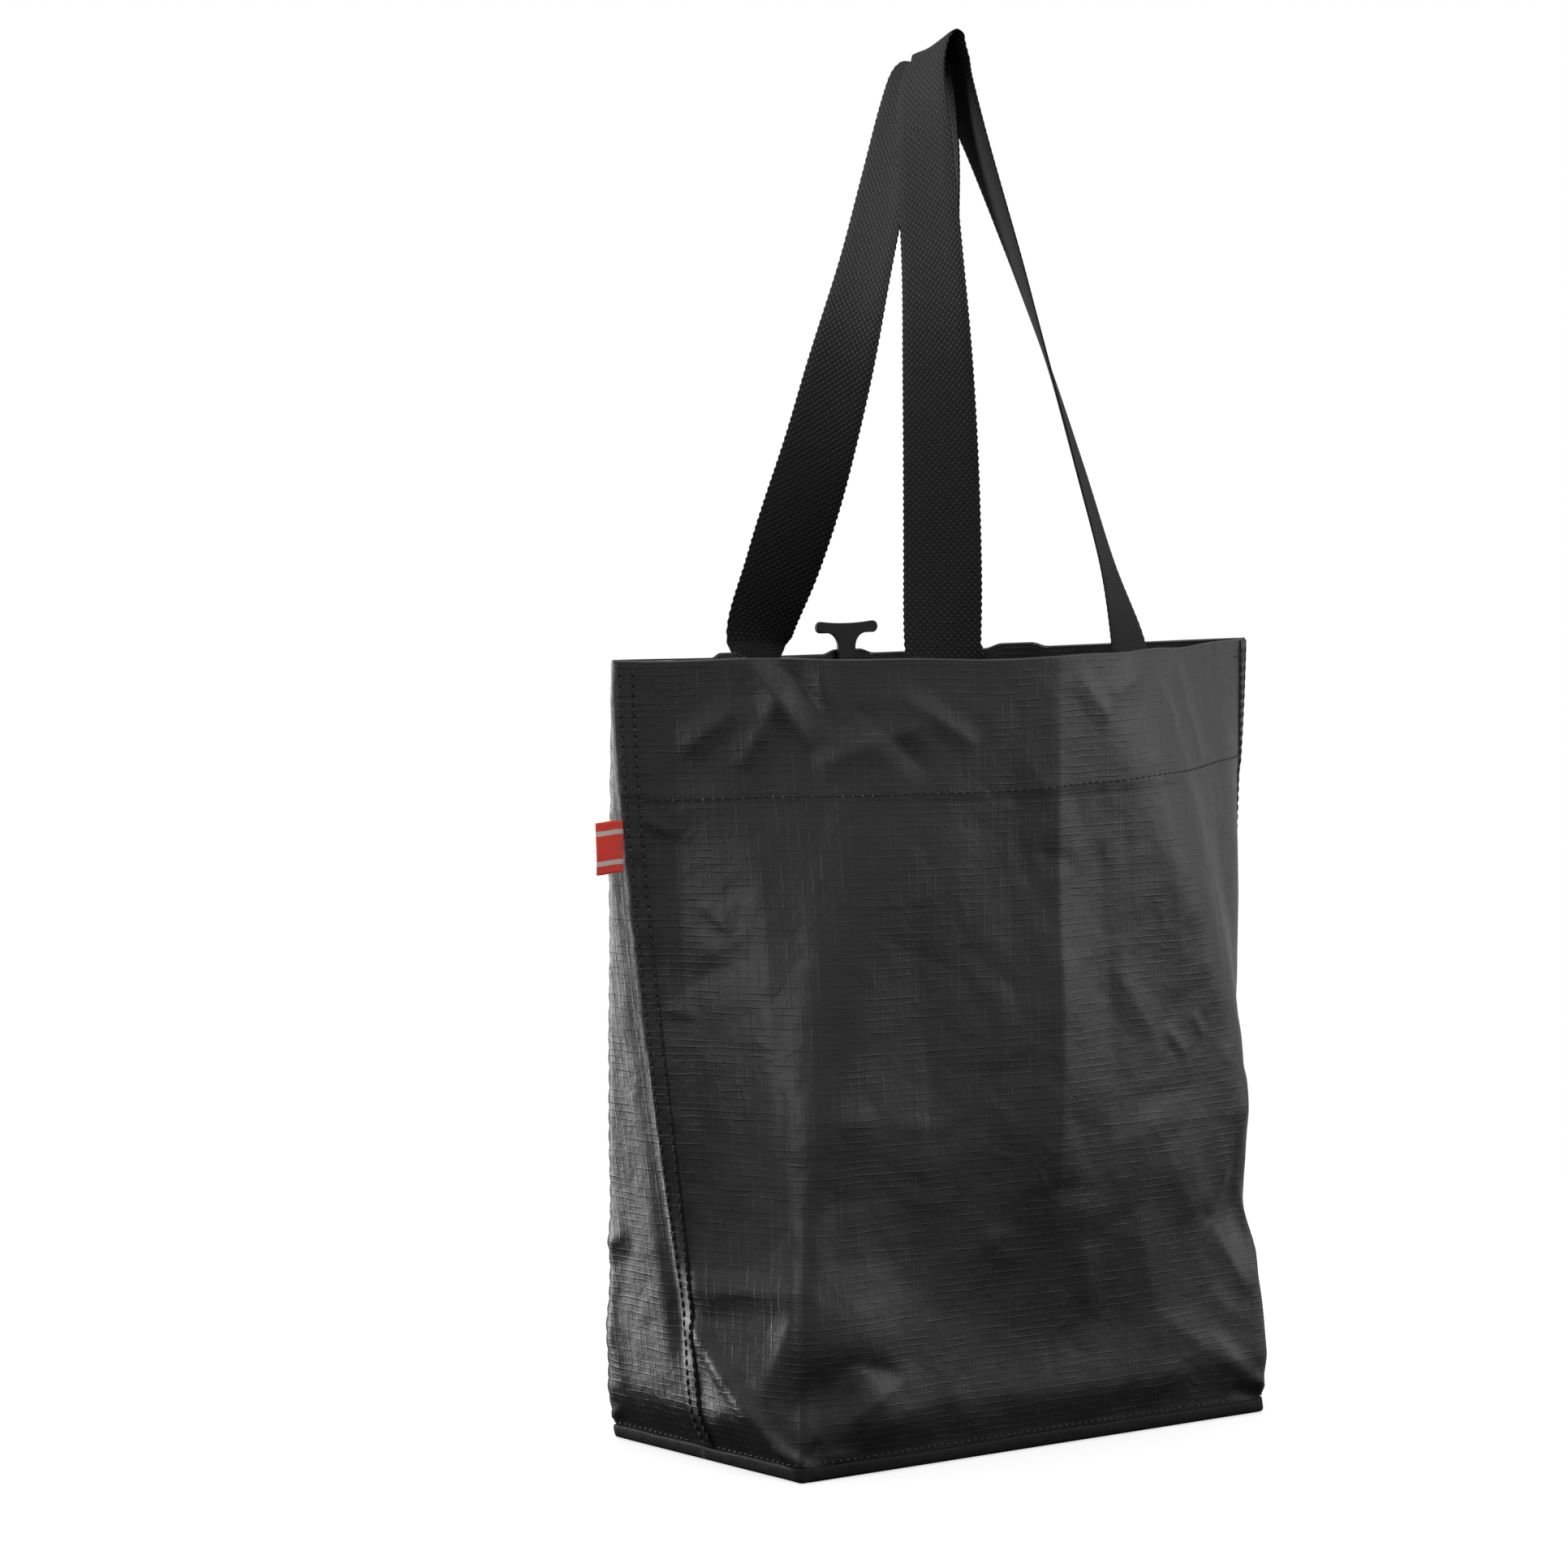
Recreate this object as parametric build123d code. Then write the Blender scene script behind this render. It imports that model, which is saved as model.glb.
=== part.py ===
"""Foldable tote bag in coated woven laminate, standing open and empty, with its handles gathered upright.

Frame: origin at the centre of the base's underside, +Z up, +X to the right seen from the front, front at -Y.
The bag is two panels, front and back, joined by a seam at each side. A panel is one flat piece of laminate.
Across it, distance is measured along the cloth from the left seam, from 0 to PANEL_WIDTH.
"""
from build123d import *
from math import cos, hypot, pi, radians, sin
import os

os.makedirs("parts", exist_ok=True)

# ---- driving dimensions, in millimetres ----
BASE_LENGTH = 300.0
BASE_DEPTH = 150.0
BODY_HEIGHT = 392.0
MOUTH_HALF_LENGTH = 205.0
MOUTH_HALF_DEPTH = 79.0
SEAM_LEAN = 1.5             # how early the side seams lean out: 1 would be a straight line
CORNER_SOFTNESS = 4.0       # how far along the cloth a level section's corners are rounded, at the base
MOUTH_SOFTNESS = 45.0       # and at the mouth
SOFTENING = 0.8             # how early they soften: 1 would be a steady change
ROUNDING_STEPS = 8          # samples on each side of a point when a corner is rounded
PANEL_WIDTH = BASE_LENGTH + BASE_DEPTH      # flat width of one panel between its side seams
HEM_DEPTH = 65.0
HEM_STITCH_RISE = 2.0       # from the hem's lower edge up to its stitching

LAMINATE = 0.8              # thickness of one layer
LAYER_GAP = 0.1             # room between layers that are sewn together
THREAD = 0.3                # how far a row of thread stands proud
THREAD_ROW = 0.6            # width of a row of thread
EDGE_SET_BACK = 0.5         # how far an inner layer or a row of thread stops short of the edge beside it
SEAM_GAP = 1.6              # from the seam line to the panel's cut edge
FELL_WIDTH = 9.0            # width of the felled side seam
FELL_ROWS = (1.7, 8.0)      # its two rows of thread, from the seam line
TACK_LENGTH = 20.0          # bar tack across the top of each side seam
TACK_DROP = 8.0
SEAM_FOOT_GAP = 2.0         # from the binding up to the felled strip

BASE_BOARD = 2.0            # stiffener thickness
BASE_CORNER = 6.0
BASE_INSET = 0.1            # from the panels' outline to the base panel's edge
BINDING_HEIGHT = 7.0
BINDING = 1.2
BINDING_STITCH_RISE = 0.8   # from the binding up to the row of thread

WEBBING_WIDTH = 38.0
WEBBING = 1.6
STRAP_OFFSET = 61.0         # from the centre of the bag to the middle of a strap
STRAP_SEWN_DEPTH = 54.0     # how far a strap reaches down inside the hem
BOX_INSET = 6.0             # from a strap's edges to its box of stitching
STRAP_CLEARANCE = 1.0       # from the hem's top edge to the free part of a strap
FRONT_STRAP_Y = -72.0
FRONT_LEAN = 0.2008         # how far a handle comes in over the mouth for each millimetre it rises
FRONT_BOW = 0.000271        # and what it comes in for each square millimetre of rise
FRONT_CROWN_Z = 693.0
FRONT_CROWN_HEIGHT = 18.0
FRONT_CROWN_HALF_WIDTH = 11.5
FRONT_CROWN_TILT = 18.0     # how far the webbing tips about its own line at the crown, in degrees
BACK_STRAP_Y = 72.0
BACK_LEAN = -0.2734
BACK_BOW = 0.000284
BACK_CROWN_Z = 681.0
BACK_CROWN_HEIGHT = 17.0
BACK_CROWN_HALF_WIDTH = 7.0
BACK_CROWN_TILT = -10.0
TWIST_SPEED = 2.2           # how early a leg turns edge-on: 1 would be a steady turn
LEG_STEPS = 14
CROWN_STEPS = 12

TAG_HEIGHT = 25.0
TAG_REACH = 15.0
TAG_MIDDLE_Z = 303.5
TAG_RIBBON = 0.35
TAG_LOOP = 0.5              # room between the two plies of the folded ribbon
TAG_SEAM_GAP = 0.6
FULL_ROUND_ROOM = 0.05      # how far a rounded fold stops short of a full half circle

TAB_HEAD_WIDTH = 40.0
TAB_HEAD_HEIGHT = 6.0
TAB_STEM_WIDTH = 11.0
TAB_TOP_Z = 404.5
TAB_ROOT_Z = 378.0
TAB_THICKNESS = 2.2
TAB_NECK_RADIUS = 7.0
TAB_CORNER = 1.4
TAB_HEAD_DISH = 1.0
TAB_BEND_ROOM = 1.8         # from the root to the free tab, where the plastic bends
TAB_ROOT_WIDTH = 26.0
TAB_ROOT_DROP = 22.0
TAB_PATCH_WIDTH = 44.0
TAB_PATCH_DROP = 30.0
TAB_PATCH_SET_DOWN = 0.5    # from the root's top edge down to the patch's

# Grid lines of the cloth: distances across a panel, with close ones round the base's corners, and heights.
ACROSS = [SEAM_GAP, 15, 30, 45, 60, 71, 75, 79, 90] + [15 * step for step in range(7, 15)] + [225]
ACROSS = ACROSS + [PANEL_WIDTH - place for place in reversed(ACROSS[:-1])]
HEM_LINE = BODY_HEIGHT - HEM_DEPTH
HEIGHTS = [LAMINATE + LAYER_GAP, BINDING_HEIGHT, 30, 60, 95, 145, 195, 245, 295, HEM_LINE, 360, BODY_HEIGHT]


# ---- the surface of the cloth ----
def seam_x(height):
    """How far out the side seam lies: it leans out from the base to the mouth."""
    share = max(0.0, min(1.0, height / BODY_HEIGHT))
    return BASE_LENGTH / 2 + (MOUTH_HALF_LENGTH - BASE_LENGTH / 2) * (1 - (1 - share) ** SEAM_LEAN)


def fold_corner(height):
    """Where a level section turns from the side to the front: its width is always that of the flat panel."""
    share = max(0.0, min(1.0, height / BODY_HEIGHT))
    depth = BASE_DEPTH / 2 + (MOUTH_HALF_DEPTH - BASE_DEPTH / 2) * share
    reach = seam_x(height)
    half = PANEL_WIDTH / 2
    return (half**2 - reach**2 - depth**2) / (2 * half - 2 * reach), depth


def sharp_point(place, height):
    """A point of the level section before its corners are rounded."""
    reach = seam_x(height)
    corner_x, corner_y = fold_corner(height)
    side = hypot(reach - corner_x, corner_y)
    from_end = min(place, PANEL_WIDTH - place)
    hand = -1 if place < PANEL_WIDTH / 2 else 1
    if from_end < side:
        share = from_end / side
        return hand * (reach + (corner_x - reach) * share), -corner_y * share
    return hand * (corner_x - (from_end - side)), -corner_y


def cloth_point(place, height):
    """A point of the level section: crisp corners at the base, and a soft lens at the mouth."""
    share = (max(0.0, height) / BODY_HEIGHT) ** SOFTENING
    softness = CORNER_SOFTNESS + (MOUTH_SOFTNESS - CORNER_SOFTNESS) * share
    reach = min(softness, place, PANEL_WIDTH - place) / ROUNDING_STEPS
    steps = range(-ROUNDING_STEPS, ROUNDING_STEPS + 1)
    samples = [sharp_point(place + reach * step, height) for step in steps]
    return sum(x for x, y in samples) / len(samples), sum(y for x, y in samples) / len(samples)


def grid_point(place, height, proud):
    """A point of the front panel's cloth, moved outwards by proud."""
    x, y = cloth_point(place, height)
    x_before, y_before = cloth_point(max(0.0, place - 1), height)
    x_after, y_after = cloth_point(min(PANEL_WIDTH, place + 1), height)
    length = hypot(x_after - x_before, y_after - y_before)
    out_x = (y_after - y_before) / length
    out_y = (x_before - x_after) / length
    return x + out_x * proud, y + out_y * proud


def bracket(grid, value):
    """The grid lines on either side of a value, and its share of the way between them."""
    low, high = next(((low, high) for low, high in zip(grid, grid[1:]) if value <= high), grid[-2:])
    return low, high, (value - low) / (high - low)


def layer_point(place, height, proud):
    """The same point on the flat facets between grid lines, so that layers on one another never cross."""
    left, right, across_share = bracket(ACROSS, place)
    low, high, up_share = bracket(HEIGHTS, height)
    corners = [grid_point(side, level, proud) for level in (low, high) for side in (left, right)]
    weights = [(1 - up_share) * (1 - across_share), (1 - up_share) * across_share,
               up_share * (1 - across_share), up_share * across_share]
    return tuple(sum(weight * corner[axis] for weight, corner in zip(weights, corners)) for axis in (0, 1))


def layer(places, heights, inner, outer):
    """A layer of cloth over part of the front panel, between two distances outwards from its surface."""
    rings = []
    for height in heights:
        outside = [(*layer_point(place, height, outer), height) for place in places]
        inside = [(*layer_point(place, height, inner), height) for place in reversed(places)]
        rings.append(Wire(Polyline(*outside, *inside, close=True)))
    return Solid.make_loft(rings, ruled=True)


def to_back(front_shape):
    """The same shape on the back of the bag."""
    return mirror(front_shape, about=Plane.XZ)


def between(low, high, grid=HEIGHTS):
    """The cloth's own grid lines from low to high."""
    return [low] + [line for line in grid if low + LAYER_GAP < line < high - LAYER_GAP] + [high]


def save(name, solids):
    solids = solids if isinstance(solids, list) else [solids]
    export_step(solids[0] if len(solids) == 1 else Compound(children=solids), f"parts/{name}.step")


# ---- body of the bag ----
def panels():
    front = layer(ACROSS, HEIGHTS, -LAMINATE, 0)
    save("front_panel", front)
    save("back_panel", to_back(front))


def hem_facings():
    outer = -(LAMINATE + LAYER_GAP)
    front = layer(ACROSS[1:-1], between(HEM_LINE, BODY_HEIGHT - EDGE_SET_BACK), outer - LAMINATE, outer)
    save("front_hem_facing", front)
    save("back_hem_facing", to_back(front))


def hem_stitching():
    row_z = HEM_LINE + HEM_STITCH_RISE
    front = layer(ACROSS[1:-1], [row_z, row_z + THREAD_ROW], LAYER_GAP / 2, THREAD)
    save("hem_stitching", [front, to_back(front)])


def side_seams():
    """A folded strip over each side seam, lying on the front panel, with its thread and its bar tack."""
    foot = BINDING_HEIGHT + SEAM_FOOT_GAP
    top = LAYER_GAP + LAMINATE
    for name, right in (("left", False), ("right", True)):
        def at(start, end):
            return [PANEL_WIDTH - end, PANEL_WIDTH - start] if right else [start, end]

        strip = layer(at(SEAM_GAP / 4, FELL_WIDTH), between(foot, BODY_HEIGHT), LAYER_GAP, top)
        save(f"{name}_side_seam", strip)
        rows = []
        for row in FELL_ROWS:
            ends = at(row, row + THREAD_ROW)
            heights = between(foot + 2 * EDGE_SET_BACK, BODY_HEIGHT - 2 * EDGE_SET_BACK)
            rows.append(layer(ends, heights, top + LAYER_GAP / 2, top + THREAD))
        save(f"{name}_seam_stitching", rows)
        tack_z = BODY_HEIGHT - TACK_DROP
        ends = at(FELL_WIDTH + EDGE_SET_BACK, TACK_LENGTH)
        tack = layer(ends, [tack_z, tack_z + THREAD_ROW], LAYER_GAP / 2, THREAD)
        save(f"{name}_bar_tack", tack)


def loop(proud):
    """A block with the outline of the bag's foot, as high as the binding."""
    places = [0] + ACROSS[1:-1] + [PANEL_WIDTH]
    rings = []
    for height in (0, BINDING_HEIGHT):
        front = [(*layer_point(place, height, proud), height) for place in places]
        back = [(x, -y, z) for x, y, z in reversed(front[1:-1])]
        rings.append(Wire(Polyline(*front, *back, close=True)))
    return Solid.make_loft(rings, ruled=True)


def base():
    stand = (Align.CENTER, Align.CENTER, Align.MIN)
    panel = Box(BASE_LENGTH - 2 * BASE_INSET, BASE_DEPTH - 2 * BASE_INSET, LAMINATE, align=stand)
    panel = fillet(panel.edges().filter_by(Axis.Z), BASE_CORNER)
    save("base_panel", panel)

    room = 2 * (LAMINATE + 3 * LAYER_GAP)
    board = Box(BASE_LENGTH - room, BASE_DEPTH - room, BASE_BOARD, align=stand)
    board = fillet(board.edges().filter_by(Axis.Z), BASE_CORNER)
    save("base_board", Pos(0, 0, LAMINATE + LAYER_GAP) * board)

    save("base_binding", loop(LAYER_GAP + BINDING) - loop(LAYER_GAP))

    row_z = BINDING_HEIGHT + BINDING_STITCH_RISE
    start = FELL_WIDTH + EDGE_SET_BACK
    across = between(start, PANEL_WIDTH - start, ACROSS)
    row = layer(across, [row_z, row_z + THREAD_ROW], LAYER_GAP / 2, THREAD)
    save("base_stitching", [row, to_back(row)])


# ---- handles ----
def sewn_straps():
    """The flat ends of the webbing, sewn to the inside of the hem, and their box stitching."""
    left_half = range(int(PANEL_WIDTH / 2))
    middle = next(place for place in left_half if cloth_point(place, BODY_HEIGHT)[0] > -STRAP_OFFSET)
    inner = 2 * (LAMINATE + LAYER_GAP) + LAYER_GAP
    heights = between(BODY_HEIGHT - STRAP_SEWN_DEPTH, BODY_HEIGHT - EDGE_SET_BACK)
    ends = []
    boxes = []
    for centre in (middle, PANEL_WIDTH - middle):
        left = centre - WEBBING_WIDTH / 2
        right = centre + WEBBING_WIDTH / 2
        ends.append(layer(between(left, right, ACROSS), heights, -inner - WEBBING, -inner))
        low = BODY_HEIGHT - STRAP_SEWN_DEPTH + BOX_INSET
        high = BODY_HEIGHT - 2 * BOX_INSET
        proud = -inner - WEBBING - LAYER_GAP / 2
        for level in (low, high):
            row = [level, level + THREAD_ROW]
            across = between(left + BOX_INSET, right - BOX_INSET, ACROSS)
            boxes.append(layer(across, row, proud - THREAD, proud))
        for edge in (left + BOX_INSET, right - BOX_INSET - THREAD_ROW):
            column = between(low + 2 * THREAD_ROW, high - THREAD_ROW)
            boxes.append(layer([edge, edge + THREAD_ROW], column, proud - THREAD, proud))
    save("front_strap_ends", ends)
    save("back_strap_ends", [to_back(end) for end in ends])
    save("strap_stitching", boxes + [to_back(box) for box in boxes])


def handle(strap_y, lean, bow, crown_z, crown_height, crown_half_width, crown_tilt):
    """A loop of webbing that rises from the hem, leans over the mouth, and turns edge-on at its crown.

    lean and bow set how far it has come in at a height: lean * rise + bow * rise squared.
    """
    start_z = BODY_HEIGHT + STRAP_CLEARANCE
    leg_top = crown_z - crown_height
    gather = (STRAP_OFFSET - crown_half_width) / (leg_top - start_z)
    stations = []
    for step in range(LEG_STEPS):
        rise = (leg_top - start_z) * step / LEG_STEPS
        y = strap_y + lean * rise + bow * rise**2
        stations.append((gather * rise - STRAP_OFFSET, y, start_z + rise))
    top_rise = leg_top - start_z
    crown_y = strap_y + lean * top_rise + bow * top_rise**2
    for step in range(CROWN_STEPS + 1):
        turn = pi * step / CROWN_STEPS
        stations.append((-crown_half_width * cos(turn), crown_y, leg_top + crown_height * sin(turn)))
    stations = stations + [(-x, y, z) for x, y, z in reversed(stations[:LEG_STEPS])]

    rings = []
    count = len(stations)
    for index, (x, y, z) in enumerate(stations):
        height_share = (z - start_z) / (crown_z - start_z)
        twist = pi / 2 * (1 - (1 - height_share) ** TWIST_SPEED)
        if index > count // 2:
            twist = pi - twist
        tilt = radians(crown_tilt) * sin(twist) ** 4
        across = Vector(cos(twist), -sin(twist) * cos(tilt), sin(twist) * sin(tilt))
        before = Vector(*stations[max(0, index - 1)])
        after = Vector(*stations[min(count - 1, index + 1)])
        along = (after - before).normalized()
        if index in (0, count - 1):
            along = Vector(0, 0, 1 if index == 0 else -1)
        through = along.cross(across).normalized() * (WEBBING / 2)
        across = across * (WEBBING_WIDTH / 2)
        middle = Vector(x, y, z)
        corners = (middle + across + through, middle - across + through,
                   middle - across - through, middle + across - through)
        rings.append(Wire(Polyline(*corners, close=True)))
    return Solid.make_loft(rings, ruled=True)


def handles():
    front = handle(FRONT_STRAP_Y, FRONT_LEAN, FRONT_BOW,
                   FRONT_CROWN_Z, FRONT_CROWN_HEIGHT, FRONT_CROWN_HALF_WIDTH, FRONT_CROWN_TILT)
    back = handle(BACK_STRAP_Y, BACK_LEAN, BACK_BOW,
                  BACK_CROWN_Z, BACK_CROWN_HEIGHT, BACK_CROWN_HALF_WIDTH, BACK_CROWN_TILT)
    save("front_handle", front)
    save("back_handle", back)


# ---- small pieces ----
def side_tag():
    """A folded ribbon caught in the left side seam, standing straight out."""
    root = -(seam_x(TAG_MIDDLE_Z + TAG_HEIGHT / 2) + TAG_SEAM_GAP)
    full = 2 * TAG_RIBBON + TAG_LOOP
    outside = Box(TAG_REACH, full, TAG_HEIGHT)
    outside = fillet(outside.edges().filter_by(Axis.Z).group_by(Axis.X)[0], full / 2 - FULL_ROUND_ROOM)
    inside = Pos(TAG_RIBBON, 0, 0) * Box(TAG_REACH, TAG_LOOP, 2 * TAG_HEIGHT)
    inside = fillet(inside.edges().filter_by(Axis.Z).group_by(Axis.X)[0], TAG_LOOP / 2 - FULL_ROUND_ROOM)
    save("side_tag", Pos(root - TAG_REACH / 2, 0, TAG_MIDDLE_Z) * (outside - inside))


def closing_tab():
    """A T-shaped plastic tab, standing inside the middle of the back hem, with its root and its patch."""
    head_low = TAB_TOP_Z - TAB_HEAD_HEIGHT
    half_head = TAB_HEAD_WIDTH / 2
    half_stem = TAB_STEM_WIDTH / 2
    neck = half_stem + TAB_NECK_RADIUS
    neck_low = head_low - TAB_NECK_RADIUS
    arc_x = neck - TAB_NECK_RADIUS * cos(pi / 4)
    arc_z = neck_low + TAB_NECK_RADIUS * sin(pi / 4)
    patch_edge = (PANEL_WIDTH - TAB_PATCH_WIDTH) / 2
    patch_low = TAB_ROOT_Z - TAB_PATCH_DROP
    face_y = -layer_point(patch_edge, patch_low, -2 * (LAMINATE + LAYER_GAP))[1] - LAYER_GAP
    with BuildPart() as tab:
        with BuildSketch(Plane.XZ):
            with BuildLine():
                Line((-half_stem, TAB_ROOT_Z), (half_stem, TAB_ROOT_Z))
                Line((half_stem, TAB_ROOT_Z), (half_stem, neck_low))
                ThreePointArc((half_stem, neck_low), (arc_x, arc_z), (neck, head_low))
                Line((neck, head_low), (half_head, head_low))
                Line((half_head, head_low), (half_head, TAB_TOP_Z))
                dish = TAB_TOP_Z - TAB_HEAD_DISH
                ThreePointArc((half_head, TAB_TOP_Z), (0, dish), (-half_head, TAB_TOP_Z))
                Line((-half_head, TAB_TOP_Z), (-half_head, head_low))
                Line((-half_head, head_low), (-neck, head_low))
                ThreePointArc((-neck, head_low), (-arc_x, arc_z), (-half_stem, neck_low))
                Line((-half_stem, neck_low), (-half_stem, TAB_ROOT_Z))
            make_face()
        extrude(amount=TAB_THICKNESS)
        ends = tab.edges().filter_by(Axis.Y).filter_by(lambda edge: abs(edge.center().X) > neck + TAB_CORNER)
        fillet(ends, TAB_CORNER)
    save("closing_tab", Pos(0, face_y, 0) * tab.part)

    root_top = TAB_ROOT_Z - TAB_BEND_ROOM
    hang = (Align.CENTER, Align.MAX, Align.MAX)
    root = Box(TAB_ROOT_WIDTH, TAB_THICKNESS, TAB_ROOT_DROP, align=hang)
    save("tab_root", Pos(0, face_y, root_top) * root)
    patch = Box(TAB_PATCH_WIDTH, LAMINATE, TAB_PATCH_DROP, align=hang)
    save("tab_patch", Pos(0, face_y - TAB_THICKNESS - LAYER_GAP, root_top - TAB_PATCH_SET_DOWN) * patch)


panels()
hem_facings()
hem_stitching()
side_seams()
base()
sewn_straps()
handles()
side_tag()
closing_tab()
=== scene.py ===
"""Looks of the foldable tote bag: coated woven laminate, webbing handles, a red side tag and a T-shaped tab.

Lengths are in millimetres until a mesh is made. Cloth places are (along the cloth, height), as in the CAD
source: along is measured across a panel from the left seam, 0 to PANEL_WIDTH.
"""
import math
import random

import bpy
import numpy as np
from mathutils import Matrix, Vector, noise


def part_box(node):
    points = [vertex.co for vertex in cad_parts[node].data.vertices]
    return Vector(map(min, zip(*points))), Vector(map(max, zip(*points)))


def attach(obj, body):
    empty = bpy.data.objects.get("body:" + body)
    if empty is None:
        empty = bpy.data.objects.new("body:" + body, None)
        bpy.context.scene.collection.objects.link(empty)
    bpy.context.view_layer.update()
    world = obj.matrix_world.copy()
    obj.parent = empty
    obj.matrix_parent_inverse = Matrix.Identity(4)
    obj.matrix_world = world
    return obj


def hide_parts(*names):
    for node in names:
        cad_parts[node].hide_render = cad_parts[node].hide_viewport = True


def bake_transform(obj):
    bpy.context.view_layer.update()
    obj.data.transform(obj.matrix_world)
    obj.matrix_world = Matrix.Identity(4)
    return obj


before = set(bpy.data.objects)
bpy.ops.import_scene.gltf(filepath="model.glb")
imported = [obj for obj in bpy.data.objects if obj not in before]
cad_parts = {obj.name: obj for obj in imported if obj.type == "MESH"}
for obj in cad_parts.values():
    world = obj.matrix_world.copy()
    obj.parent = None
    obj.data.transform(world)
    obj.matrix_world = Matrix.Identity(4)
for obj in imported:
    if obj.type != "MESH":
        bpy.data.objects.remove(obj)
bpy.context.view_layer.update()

MM = 0.001

# ---- dimensions, the same as the CAD's ----
BASE_LENGTH = 300.0
BASE_DEPTH = 150.0
BODY_HEIGHT = 392.0
MOUTH_HALF_LENGTH = 205.0
PANEL_WIDTH = 450.0
SEAM_LEAN = 1.5              # how early the side seams lean out: 1 would be a straight line
HEM_DEPTH = 65.0
HEM_LINE = BODY_HEIGHT - HEM_DEPTH
HEM_DRIFT = 7.0              # how much higher the hem's stitching runs at its right end
LAMINATE = 0.8
FACING_GAP = 0.15            # room between a panel and its hem facing
STITCH_PITCH = 4.8
FELL_WIDTH = 9.0
FELL_ROWS = (2.0, 8.3)
BINDING_HEIGHT = 7.0
WEBBING_WIDTH = 38.0
WEBBING = 1.6
STRAP_OFFSET = 61.0
STRAP_SEWN_DEPTH = 54.0
STRAP_INSET = 2 * LAMINATE + 0.5 + WEBBING / 2     # from the panel's face in to the middle of a sewn strap
BACK_STRAP_SHIFT = 4.0       # the back handle's left leg sits a little further out at the mouth
STRAP_SLANT = 0.174          # how fast the two legs of a handle come together
SEWN_SLANT = 0.6             # the share of that slant which a strap keeps inside the hem
TAB_SHIFT = -2.5             # the T tab stands a little left of the middle
KINK_HEIGHT = 73.0           # where the side seam's fold meets the base's gusset triangle
BACK_GUSSET = 72.0           # how deep the gusset is at the base's ends on the back panel, above its depth
BACK_GUSSET_TOP = 3.0        # at the mouth
CORNER_SOFTNESS = 4.0        # how far along the cloth a level section's corners are rounded, at the base
MOUTH_SOFTENING = 41.0       # and how much further at the mouth
ROOF_RISE = 16.0             # the front's long upright ridge: how far it stands out
ROOF_HALF_WIDTH = 130.0
BELLY = 7.5                  # how far the cloth swells just above the foot
HEM_STEP = 0.45              # the step where the hem's second layer begins
SEAM_FLAT = 12.0             # beside a side seam, where the relief dies away

CLOTH_STEP = 2.0             # spacing of the cloth's grid
ACROSS = np.linspace(0, PANEL_WIDTH, int(PANEL_WIDTH / CLOTH_STEP) + 1)
UP = np.linspace(1.0, BODY_HEIGHT, int(BODY_HEIGHT / CLOTH_STEP) + 1)


def smooth(low, high, value):
    t = np.clip((value - low) / (high - low), 0, 1)
    return t * t * (3 - 2 * t)


def unit(vectors):
    return vectors / np.maximum(np.linalg.norm(vectors, axis=-1, keepdims=True), 1e-9)


def distances(line):
    """How far along a line each of its points is."""
    return np.concatenate([[0], np.cumsum(np.linalg.norm(np.diff(line[:, :3], axis=0), axis=1))])


def at_distance(at, far, values):
    """A line's values at one distance along it, or at several."""
    return np.stack([np.interp(at, far, column) for column in values.T], axis=-1)


# ---- shape of the cloth ----
def seam_x(height):
    share = np.clip(height / BODY_HEIGHT, 0, 1)
    return BASE_LENGTH / 2 + (MOUTH_HALF_LENGTH - BASE_LENGTH / 2) * (1 - (1 - share) ** SEAM_LEAN)


def side_run(side, height):
    """How far the cloth runs straight back from the seam before it folds: the gusset at the bag's end."""
    share = height / BODY_HEIGHT
    if side == "front":
        return BASE_DEPTH / 2 * max(0.0, 1 - height / KINK_HEIGHT)
    return BACK_GUSSET * max(0.0, 1 - share) ** 1.4 + BACK_GUSSET_TOP


def half_depth(side, height):
    share = height / BODY_HEIGHT
    if side == "front":
        return BASE_DEPTH / 2 - 8 * share * (1 - share) + 7 * share**3
    return BASE_DEPTH / 2 + 3 * share


def softness(height):
    return CORNER_SOFTNESS + MOUTH_SOFTENING * (max(0.0, height) / BODY_HEIGHT) ** 1.7


def section(side, height, along):
    """The level section's points at distances along the cloth, with the front's y positive."""
    reach = float(seam_x(height))
    run = side_run(side, height)
    depth = half_depth(side, height)
    half = PANEL_WIDTH / 2 - run
    slack = half - reach
    corner = reach if slack < 0.3 else (half**2 - reach**2 - (depth - run) ** 2) / (2 * slack)
    corner = min(corner, reach)
    facet = max(1e-6, math.hypot(reach - corner, depth - run))
    flat = max(1e-6, PANEL_WIDTH / 2 - run - facet)
    xs = [-reach, -reach, -corner, corner, reach, reach]
    ys = [0, run, depth, depth, run, 0]
    runs = np.cumsum([0, run + 1e-6, facet, 2 * flat, facet, run + 1e-6])
    runs = runs * (PANEL_WIDTH / runs[-1])
    room = np.minimum(along - run, PANEL_WIDTH - run - along)
    window = np.clip(np.minimum(room, softness(height)), 0, None)
    x = np.zeros_like(along)
    y = np.zeros_like(along)
    samples = 15
    for step in np.linspace(-1, 1, samples):
        x += np.interp(along + window * step, runs, xs) / samples
        y += np.interp(along + window * step, runs, ys) / samples
    return x, y


def tent(distance, width):
    """A crease's profile: a crisp crest that falls away on both sides."""
    return np.clip(1 - np.abs(distance) / width, 0, None) ** 1.4


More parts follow.
